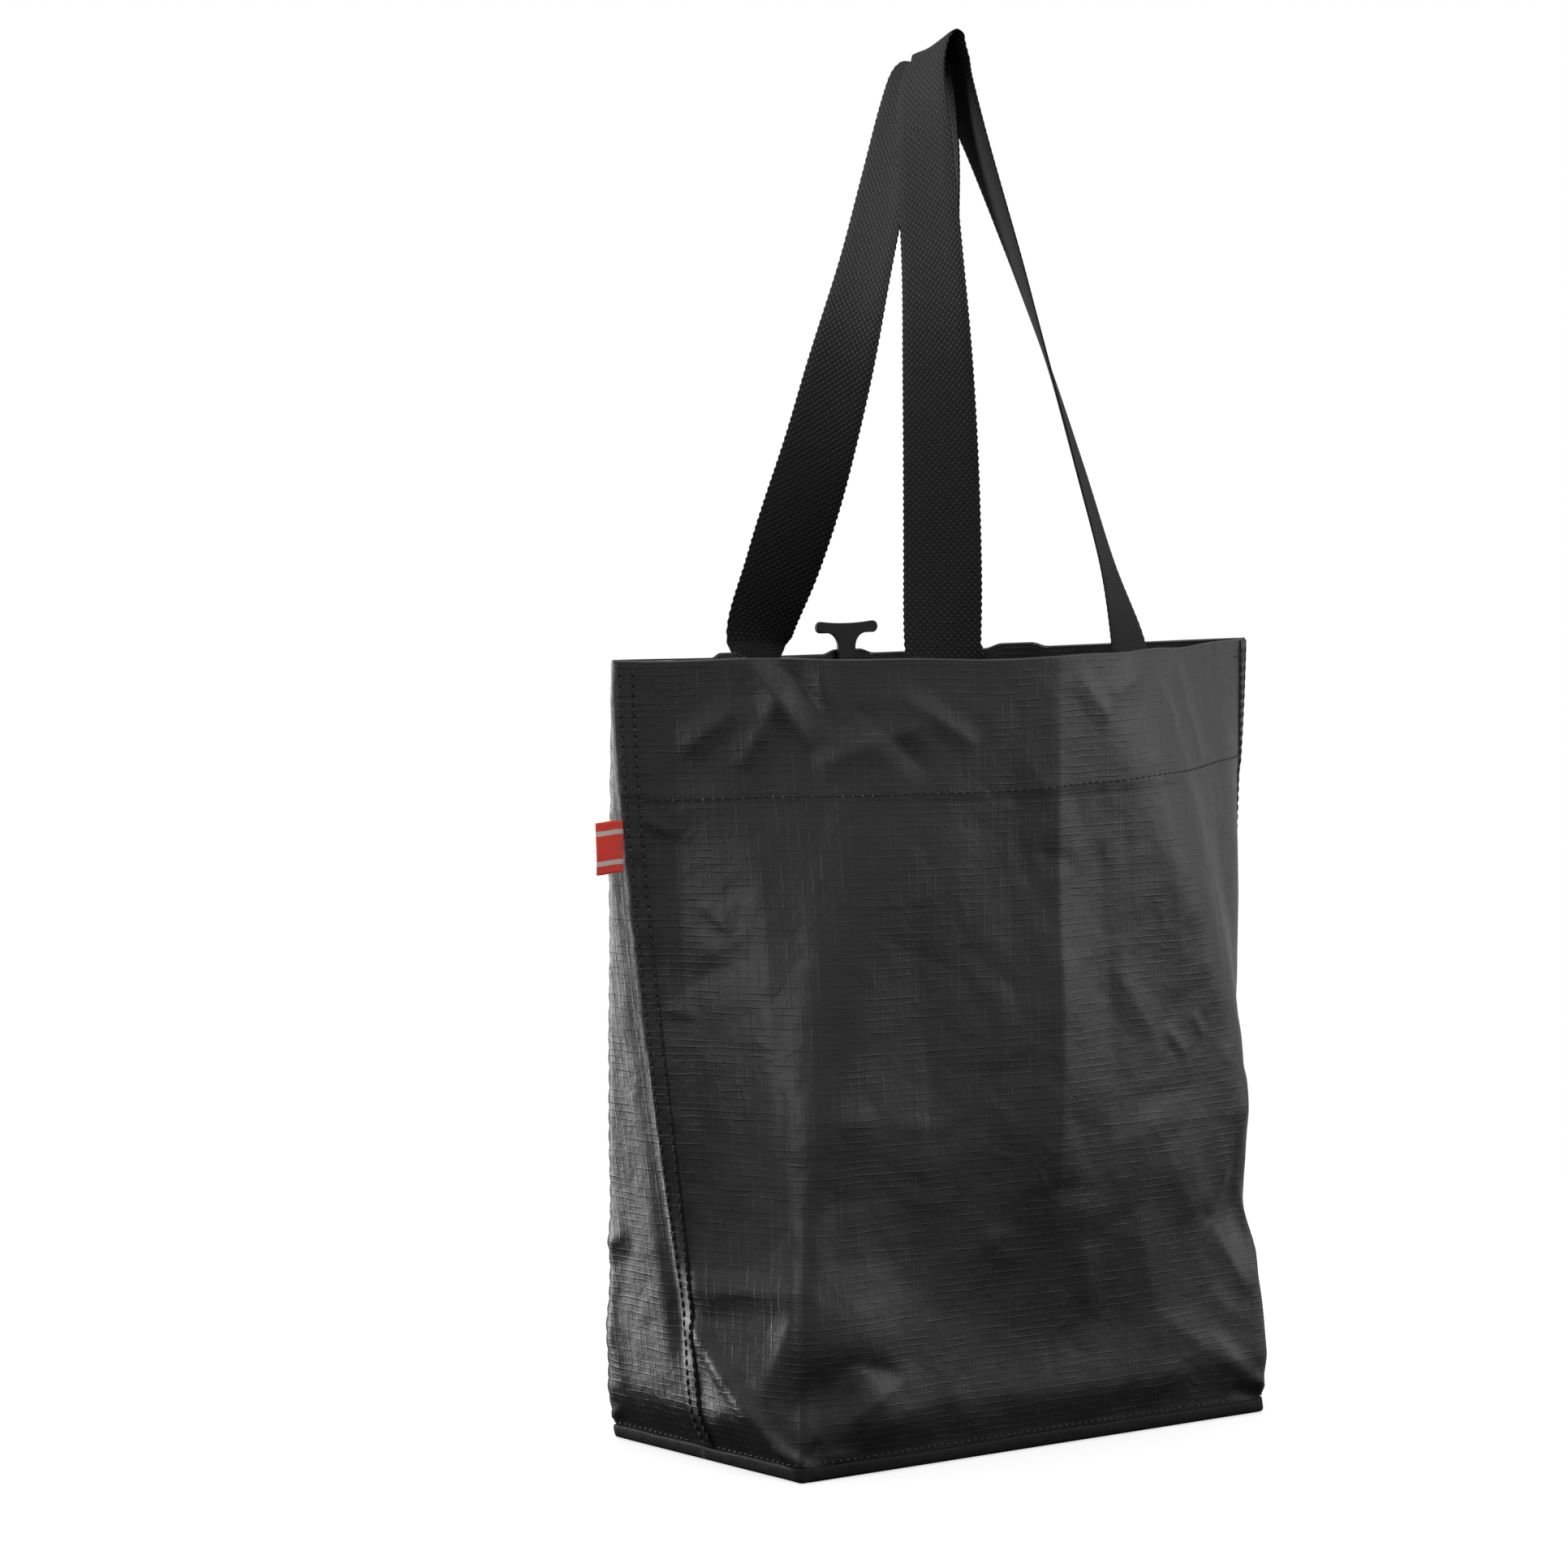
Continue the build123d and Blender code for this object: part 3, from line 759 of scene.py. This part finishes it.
def needle_marks(name, rows, seed, keep):
    """The pale specks where the needle went through the film: some of the holes, not all."""
    rng = random.Random(seed)
    points, faces = [], []
    for line, normals in rows:
        far = distances(line)
        count = int(far[-1] // STITCH_PITCH)
        for index in range(count):
            if rng.random() > keep:
                continue
            at = index * far[-1] / count
            size = rng.uniform(0.16, 0.34)
            centre, normal = at_distance(at, far, line), at_distance(at, far, normals)
            path = [centre + normal * lift for lift in (-0.15, 0.05, 0.16)]
            rings, more = tube(path, size, 6, len(points))
            points += rings
            faces += more
    dress(make_piece(name, points, faces), MARK_FINISH)


def seam_strip(name, right, heights, pucker):
    """The felled strip: it lies on the front panel, and its fold wraps a little way onto the back one."""
    offsets = np.array([0.0, 0.6, 1.4, 3.0, 5.0, 7.0, 8.4, FELL_WIDTH])
    lift = np.array([0.55, 0.85, 0.95, 0.95, 0.95, 0.95, 0.95, 0.7])
    wrap = np.array([2.6, 1.0])
    puckers = [[noise.noise(Vector((height / 9, offset, 3.1))) for offset in offsets] for height in heights]

    def layer(front_proud, back_proud):
        grids = []
        for side, places, proud in (("back", wrap, back_proud), ("front", offsets, front_proud)):
            along, height = np.meshgrid(PANEL_WIDTH - places if right else places, heights)
            grids.append(on_cloth(side, along, height, proud)[0])
        return np.concatenate(grids, axis=1)

    outer = layer(lift + pucker * np.array(puckers), 0.4)
    inner = layer(0.02, 0.02)
    places = np.concatenate([-wrap, offsets])
    if right:
        outer, inner, places = outer[:, ::-1], inner[:, ::-1], PANEL_WIDTH - places[::-1]
    strip = sheet_piece(f"{name}_seam_strip", outer, inner, cloth_uv(places, heights))
    dress(strip, LAMINATE_FINISH)
    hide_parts(f"{name}_side_seam")


def seam_threads(name, right, radius, bow):
    """Two rows of thread up the strip with their needle marks, and the bar tack across its top."""
    def at(place):
        return PANEL_WIDTH - place if right else place

    heights = np.arange(BINDING_HEIGHT + 4, BODY_HEIGHT - 2, 1.0)
    rows = [on_cloth("front", at(offset), heights, 1.0) for offset in FELL_ROWS]
    sew(f"{name}_seam_thread", f"{name}_seam_stitching", rows, STITCH_PITCH, radius=radius, bow=bow)
    needle_marks(f"{name}_seam_needle_marks", rows, seed=8 + right, keep=0.7)
    reach = np.arange(2.0, 20.0, 0.5)
    proud = np.where(reach < FELL_WIDTH + 0.3, 1.0, 0.1)
    tack = [on_cloth("front", at(reach), BODY_HEIGHT - 8.0, proud)]
    sew(f"{name}_tack_thread", f"{name}_bar_tack", tack, 1.6, share=0.95)


def side_seams():
    heights = np.linspace(BINDING_HEIGHT + 1, BODY_HEIGHT - 0.2, 150)
    seam_strip("left", False, heights, pucker=0.22)
    seam_threads("left", False, radius=0.45, bow=0.42)
    seam_strip("right", True, heights, pucker=0.08)
    seam_threads("right", True, radius=0.3, bow=0.2)


def foot_loop(proud, heights):
    """Rings of points all round the bag's foot, at distances outwards and heights."""
    rings = []
    for out, height in zip(proud, heights):
        front = on_cloth("front", ACROSS, height, out)[0]
        back = on_cloth("back", ACROSS, height, out)[0]
        rings.append(np.concatenate([front, back[-2:0:-1]]))
        rings[-1][:, 2] = height
    return np.array(rings)


def base():
    """A folded binding round the foot, with a row of stitching above it."""
    outs = np.array([-1.2, 0.2, 1.1, 1.5, 1.55, 1.45, 1.1, 0.5, -0.3])
    levels = np.array([0.5, 0.05, 0.5, 1.6, 3.6, 5.6, 6.7, 7.1, 6.9])
    rings = foot_loop(outs, np.maximum(levels, 1.0))
    count = rings.shape[1]
    waves = np.array([noise.noise(Vector((x / 24, y / 24, 1.7))) for x, y, z in rings[0]])
    for ring, level in zip(rings, levels):
        ring[:, 2] = np.maximum(level + 0.7 * waves * level / BINDING_HEIGHT, 0.02)
    uv = cloth_uv(np.arange(count) * CLOTH_STEP, levels)
    faces = grid_faces(len(levels), count, closed=True)
    welt = make_piece("foot_binding", rings.reshape(-1, 3), faces, uv.reshape(-1, 2))
    dress(welt, BINDING_FINISH)
    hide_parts("base_binding")
    places = np.arange(11, PANEL_WIDTH - 11, 1.0)
    rows = [on_cloth(side, places, BINDING_HEIGHT + 1.6, 0.05) for side in ("front", "back")]
    sew("foot_thread", "base_stitching", rows, 4.2, BASE_THREAD_FINISH, "base_thread",
        share=0.45, radius=0.36)


# ---- webbing ----
def curve_through(knots, count):
    """A smooth line (Catmull-Rom) through given knots, resampled evenly."""
    knots = np.asarray(knots, float)
    padded = np.concatenate([[2 * knots[0] - knots[1]], knots, [2 * knots[-1] - knots[-2]]])
    line = []
    for index in range(len(knots) - 1):
        before, start, end, after = padded[index:index + 4]
        for t in np.linspace(0, 1, 40, endpoint=False):
            line.append(0.5 * (2 * start + (end - before) * t
                               + (2 * before - 5 * start + 4 * end - after) * t**2
                               + (3 * start - before - 3 * end + after) * t**3))
    line.append(knots[-1])
    line = np.array(line)
    far = distances(line)
    return at_distance(np.linspace(0, far[-1], count), far, line), far[-1]


def sewn_ring(side, hand, height, offsets):
    """A strap's cross-section where it lies flat inside the hem. Offsets are its points' (across, through)."""
    grid = SURFACES[side][0]
    level = min(height, BODY_HEIGHT)
    row = int(np.argmin(np.abs(UP - level)))
    middle = hand * (STRAP_OFFSET + STRAP_SLANT * SEWN_SLANT * (BODY_HEIGHT - level))
    if side == "back" and hand < 0:
        middle -= 1.8 * BACK_STRAP_SHIFT
    place = float(np.interp(middle, grid[row, :, 0], ACROSS))
    outwards = -1 if side == "front" else 1
    proud = outwards * offsets[:, 1] - STRAP_INSET
    points = on_cloth(side, place + offsets[:, 0], height, proud)[0]
    points[:, 2] = height
    return points


def strap(side, knots):
    """One length of webbing. Its knots are (x, y, z, turn, tilt): the middle of the strap, how far its width
    is turned from +X about Z, and how far its width is tipped up, both in degrees."""
    line, length = curve_through(knots, 1100)
    points, uv = [], []
    columns = 12
    count = len(line)
    for index in range(count):
        x, y, z, turn, tilt = line[index]
        turn, tilt = math.radians(turn), math.radians(tilt)
        across = np.array([math.cos(turn) * math.cos(tilt), math.sin(turn) * math.cos(tilt), math.sin(tilt)])
        before, after = line[max(0, index - 3)][:3], line[min(count - 1, index + 3)][:3]
        along = unit(after - before)
        across = unit(across - along * np.dot(across, along))
        through = np.cross(along, across)
        far = length * index / (count - 1)
        edge = 0.28 * math.sin(2 * math.pi * far / 3.4)
        half = WEBBING_WIDTH / 2
        ring, ring_uv, sewn = [], [], []
        for face in (1, -1):
            for column in range(columns):
                t = -1 + 2 * column / (columns - 1)
                t = t * face
                wide = t * (half + edge * (abs(t) > 0.9))
                thick = WEBBING / 2 * (1 - 0.55 * max(0.0, abs(t) - 0.86) / 0.14)
                cup = 0.5 * (1 - t * t)
                ring.append(np.array([x, y, z]) + across * wide + through * (face * thick + cup))
                ring_uv.append((wide, far + (0 if face > 0 else 0.8)))
                sewn.append((wide, face * thick))
        loose = smooth(BODY_HEIGHT - 8, BODY_HEIGHT + 4, z)
        if loose < 1:
            hand = -1 if index < count / 2 else 1
            flat = sewn_ring(side, hand, z, np.array(sewn) * (-hand, 1))
            ring = list(flat * (1 - loose) + np.array(ring) * loose)
        points += ring
        uv += ring_uv
    around = 2 * columns
    faces = grid_faces(count, around, closed=True)
    faces.append(list(range(around))[::-1])
    faces.append([(count - 1) * around + corner for corner in range(around)])
    piece = make_piece(f"{side}_webbing", points, faces, uv)
    sharpen(piece, 60)
    piece.data.materials.append(WEBBING_FINISH)
    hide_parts(f"{side}_handle", f"{side}_strap_ends")
    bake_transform(piece)


def strap_root(side, hand):
    """Where a strap's sewn end lies inside the hem, low to high: its middle and its turn in degrees.

    It is measured on the left half of the panel, and mirrored for the right.
    """
    places = np.linspace(60, 220, 161)
    found = []
    for height in (BODY_HEIGHT - STRAP_SEWN_DEPTH, BODY_HEIGHT - 30, BODY_HEIGHT - 8):
        points = on_cloth(side, places, height)[0]
        place = places[int(np.argmin(np.abs(points[:, 0] + STRAP_OFFSET)))]
        depths = on_cloth(side, place + np.array([-14, -7, 0, 7, 14]), height, -STRAP_INSET)[0]
        slope = np.polyfit(depths[:, 0], depths[:, 1], 1)[0]
        x, y, z = depths[2]
        x -= STRAP_SLANT * (BODY_HEIGHT - height) * SEWN_SLANT
        found.append((x * -hand, y, z, math.degrees(math.atan(slope)) * -hand))
    return found


# A handle stands at mouth_y at the mouth's height, and comes in by lean * rise + bow * rise squared.
# Its legs are (rise above the mouth, how far the width has turned), and its crown has knots as in strap().
HANDLES = {
    "front": {
        "mouth_y": -71.5, "lean": 0.2008, "bow": 0.000271,
        "left": [(8, -27), (44, -44), (93, -56), (141, -67), (190, -79), (248, -86)],
        "right": [(8, 24), (44, 38), (93, 43), (141, 49), (190, 58), (248, 68)],
        "crown": [(-12.5, 4.0, 672, -93, 8), (-6.5, 7.0, 688, -97, 14), (1.0, 8.5, 694, -100, 18),
                  (7.0, 7.5, 687, -102, 16), (11.5, 5.0, 672, -105, 10)],
    },
    "back": {
        "mouth_y": 71.5, "lean": -0.2734, "bow": 0.000284,
        "left": [(8, -9), (44, -28), (93, -55), (141, -68), (190, -84), (236, -90)],
        "right": [(8, 14), (44, 28), (93, 40), (141, 50), (190, 60), (236, 68)],
        "crown": [(-13.0, 18.5, 662, -93, -3), (-7.0, 17.5, 679, -96, -6), (0.5, 17.0, 684, -98, -7),
                  (6.5, 17.5, 679, -101, -6), (11.5, 18.5, 662, -104, -3)],
    },
}


def leg_knots(side, hand):
    """One leg's knots, from its sewn end upwards. The right leg's width is turned right round, because the
    webbing goes over the crown and comes down."""
    shape = HANDLES[side]
    flip = 180 if hand > 0 else 0
    knots = [(x, y, z, turn - flip, 0) for x, y, z, turn in strap_root(side, hand)]
    for rise, turn in shape["right" if hand > 0 else "left"]:
        x = hand * (STRAP_OFFSET - STRAP_SLANT * rise)
        if side == "back" and hand < 0:
            x -= BACK_STRAP_SHIFT * smooth(90, 0, rise)
        y = shape["mouth_y"] + shape["lean"] * rise + shape["bow"] * rise**2
        knots.append((x, y, BODY_HEIGHT + rise, turn - flip, 0))
    return knots


def handles():
    for side in ("front", "back"):
        knots = leg_knots(side, -1) + HANDLES[side]["crown"] + leg_knots(side, 1)[::-1]
        strap(side, knots)


def strap_stitching():
    """The box and the diagonal that hold each strap's end, on the inside."""
    half = 13
    rows = []
    for side, inward in (("front", 1), ("back", -1)):
        for hand in (-1, 1):
            found = strap_root(side, hand)
            low, high = found[0][2] + 6, found[2][2] - 4
            x, y, z, turn = found[1]
            turn = math.radians(turn)
            box = [(-half, low), (half, low), (half, high), (-half, high)]
            corners = []
            for wide, level in (*box, box[0], box[2]):
                depth = np.interp(level, [f[2] for f in found], [f[1] for f in found])
                proud = inward * (WEBBING / 2 + 0.75)
                corners.append((x + wide * math.cos(turn), depth + wide * math.sin(turn) + proud, level))
            for start, end in zip(corners, corners[1:]):
                rows.append((np.linspace(start, end, 20), np.tile([0.0, inward, 0.0], (20, 1))))
    sew("strap_thread", "strap_stitching", rows, 3.6)


# ---- small pieces ----
def side_tag():
    """A loop of ribbon caught in the left side seam."""
    low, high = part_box("side_tag")
    low, high = low / MM, high / MM
    steps, levels = 40, 24
    root = high.x + 0.5
    reach = root - low.x
    rows, uv = [], []
    for level in range(levels):
        z = low.z + (high.z - low.z) * level / (levels - 1)
        row, row_uv = [], []
        for step in range(steps):
            t = step / (steps - 1)
            far = 1 - abs(2 * t - 1)
            bulge = 0.55 * math.sin(math.pi * min(1, far * 1.02)) ** 0.6 + 0.12
            y = (1 if t > 0.5 else -1) * bulge * (1 if far < 0.97 else 0.2)
            wave = 0.5 * math.sin(z / 7.0) * far + 1.2 * far**2
            droop = -0.6 * far
            row.append((root - reach * far, y + wave, z + droop + 0.25 * math.sin(far * 5)))
            row_uv.append((reach * 2 * t, z - (low.z + high.z) / 2))
        rows.append(row)
        uv.append(row_uv)
    points, uv = np.array(rows).reshape(-1, 3), np.array(uv).reshape(-1, 2)
    tag = make_piece("red_tag", points, grid_faces(levels, steps), uv)
    thick = tag.modifiers.new("thickness", "SOLIDIFY")
    thick.thickness = 0.3 * MM
    thick.offset = 0
    dress(tag, TAG_FINISH, body="side_tag")
    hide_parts("side_tag")


def closing_tab():
    """The T tab: a flat profile with rounded edges, standing inside the middle of the back hem."""
    low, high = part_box("closing_tab")
    low, high = low / MM, high / MM
    half_head, half_stem, neck, end, dish = 20.0, 5.5, 7.0, 3.0, 1.0
    head_low = high.z - 2 * end
    end_x = half_head - end
    right = [(half_stem, low.z + 0.3)]
    for turn in np.linspace(0, math.pi / 2, 9):
        right.append((half_stem + neck * (1 - math.cos(turn)), head_low - neck * (1 - math.sin(turn))))
    for turn in np.linspace(-math.pi / 2, math.pi / 2, 9):
        right.append((end_x + end * math.cos(turn), high.z - end + end * math.sin(turn)))
    top = [(x, high.z - dish * (1 - (x / end_x) ** 2)) for x in np.linspace(end_x - end, end - end_x, 15)]
    outline = right + top + [(-x, z) for x, z in reversed(right)]
    curve = bpy.data.curves.new("closing_tab_profile", "CURVE")
    curve.dimensions = "2D"
    curve.fill_mode = "BOTH"
    spline = curve.splines.new("POLY")
    spline.points.add(len(outline) - 1)
    inset = 0.45
    for point, (x, z) in zip(spline.points, outline):
        point.co = (x * MM, z * MM, 0, 1)
    spline.use_cyclic_u = True
    curve.extrude = ((high.y - low.y) / 2 - inset) * MM
    curve.bevel_depth = inset * MM
    curve.bevel_resolution = 3
    curve.offset = -inset * MM
    shape = add_object("closing_tab_shape", curve)
    bpy.context.view_layer.update()
    mesh = bpy.data.meshes.new_from_object(shape.evaluated_get(bpy.context.evaluated_depsgraph_get()))
    bpy.data.objects.remove(shape)
    stand = Matrix.Rotation(math.pi / 2, 4, "X")
    mesh.transform(Matrix.Translation((TAB_SHIFT * MM, (low.y + high.y) / 2 * MM, 0)) @ stand)
    tab = add_object("t_tab", mesh)
    sharpen(tab, 45)
    dress(tab, TAB_FINISH, body="closing_tab")
    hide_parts("closing_tab")


def kept_nodes():
    """CAD nodes whose own shape is right: they get their materials here."""
    for node, finish in (("base_panel", BOARD_FINISH), ("base_board", BOARD_FINISH),
                         ("tab_root", TAB_FINISH), ("tab_patch", INNER_FINISH)):
        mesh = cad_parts[node].data
        mesh.materials.clear()
        mesh.materials.append(finish)


# ---- stage ----
def studio():
    scene = bpy.context.scene
    scene.view_settings.view_transform = "Standard"
    world = bpy.data.worlds.new("studio")
    scene.world = world
    world.use_nodes = True
    tree = world.node_tree
    tree.nodes.clear()
    new, link = tree.nodes.new, tree.links.new
    output, path, mix = new("ShaderNodeOutputWorld"), new("ShaderNodeLightPath"), new("ShaderNodeMixShader")
    seen, lit = new("ShaderNodeBackground"), new("ShaderNodeBackground")
    seen.inputs[0].default_value = (1, 1, 1, 1)
    above = new("ShaderNodeMapRange")
    above.interpolation_type = "SMOOTHSTEP"
    for socket, value in zip(list(above.inputs)[1:5], (-0.5, -0.05, 0.02, 0.62)):
        socket.default_value = value
    direction, split = new("ShaderNodeTexCoord"), new("ShaderNodeSeparateXYZ")
    link(direction.outputs["Generated"], split.inputs[0])
    link(split.outputs[2], above.inputs[0])
    link(above.outputs[0], lit.inputs[1])
    link(path.outputs["Is Camera Ray"], mix.inputs[0])
    link(lit.outputs[0], mix.inputs[1])
    link(seen.outputs[0], mix.inputs[2])
    link(mix.outputs[0], output.inputs[0])

    bpy.ops.mesh.primitive_circle_add(vertices=96, radius=3.2, fill_type="NGON", location=(0, 0, -0.0005))
    floor = bpy.context.object
    floor.name = "floor"
    s = Shader("pale_floor")
    place = s.object_place()
    split = s.node("ShaderNodeSeparateXYZ")
    s.put(split.inputs[0], place)
    squares = [s.math("POWER", split.outputs[axis], 2.0) for axis in (0, 1)]
    far = s.math("SQRT", s.math("ADD", *squares))
    mottle = s.noise(place, 3.0, 2.0)
    colour = s.colours(mottle, (0.5, 0.5, 0.5), (0.54, 0.54, 0.54))
    s.finish(Base_Color=colour, Roughness=0.6, Specular_IOR_Level=0.2, Alpha=s.ramp(far, 0.3, 1.1, 1.0, 0.0),
             Emission_Color=(1, 1, 1, 1), Emission_Strength=0.66)
    floor.data.materials.append(s.material)
    floor.visible_glossy = False
    floor.visible_diffuse = False

    def softbox(name, place, aim, size, power):
        light = bpy.data.lights.new(name, "AREA")
        light.shape = "RECTANGLE"
        light.size, light.size_y = size
        light.energy = power
        holder = add_object(name, light)
        holder.location = place
        holder.rotation_euler = (Vector(aim) - Vector(place)).to_track_quat("-Z", "Y").to_euler()

    middle = (0, 0, 0.3)
    softbox("right_softbox", (1.9, -1.33, 0.95), middle, (2.0, 1.7), 13)
    softbox("left_softbox", (-1.15, 2.1, 0.45), middle, (1.1, 2.2), 60)
    softbox("side_softbox", (-2.3, -0.9, 0.9), middle, (1.3, 1.6), 12)
    softbox("front_softbox", (0.5, -2.6, 1.7), middle, (1.6, 1.0), 3)
    softbox("top_softbox", (0, 0, 2.6), middle, (2.2, 2.2), 30)


def camera():
    """The photograph's viewpoint: a long lens, a little above the mouth, turned to the left of the front."""
    turn = math.radians(38.17)
    down = math.radians(4.0)
    view = Vector((math.sin(turn), math.cos(turn), 0))
    right = Vector((math.cos(turn), -math.sin(turn), 0))
    up = Vector((0, 0, 1))
    spot = -2.669 * view - 0.0805 * right + 0.5114 * up
    look = view * math.cos(down) - up * math.sin(down)
    lens = bpy.data.cameras.new("camera")
    lens.lens = 122.33
    lens.sensor_width = 36
    lens.clip_start = 0.05
    holder = add_object("camera", lens)
    holder.location = spot
    holder.rotation_euler = look.to_track_quat("-Z", "Y").to_euler()
    bpy.context.scene.camera = holder


panels()
hem_facings()
hem_stitching()
side_seams()
base()
handles()
strap_stitching()
side_tag()
closing_tab()
kept_nodes()
studio()
camera()
